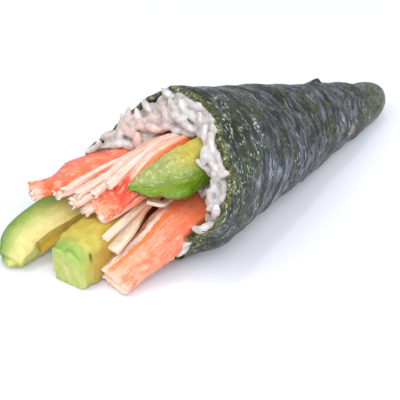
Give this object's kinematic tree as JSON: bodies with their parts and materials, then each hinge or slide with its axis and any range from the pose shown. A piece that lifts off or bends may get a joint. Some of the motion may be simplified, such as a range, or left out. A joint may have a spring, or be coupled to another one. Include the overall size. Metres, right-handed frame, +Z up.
{
  "type": "temaki hand roll",
  "caption": "Cone of nori packed with rice, lying on its side, with avocado wedges, crab sticks and pale crab strips standing out of its mouth.",
  "frame": {"origin": "on the flat strip the roll rests on, under its axis, about a third of the way from the tip's side of its middle", "axes": "+X towards the closed tip, -X towards the mouth, +Z up from the table"},
  "size_m": [0.1562, 0.0646, 0.0516],
  "materials": {
    "nori": "satin",
    "rice": "satin",
    "avocado": "satin",
    "crab_stick": "satin",
    "torn_crab_stick": "satin",
    "white_strip": "satin"
  },
  "bodies": {
    "root": {"nori": "nori", "rice": "rice", "crab_stick_front": "crab_stick", "crab_stick_left": "crab_stick", "crab_stick_top": "torn_crab_stick", "avocado_left": "avocado", "avocado_middle": "avocado", "avocado_top": "avocado", "white_strip_left": "white_strip", "white_strip_right": "white_strip", "white_strip_back": "white_strip"}
  },
  "joints": []
}
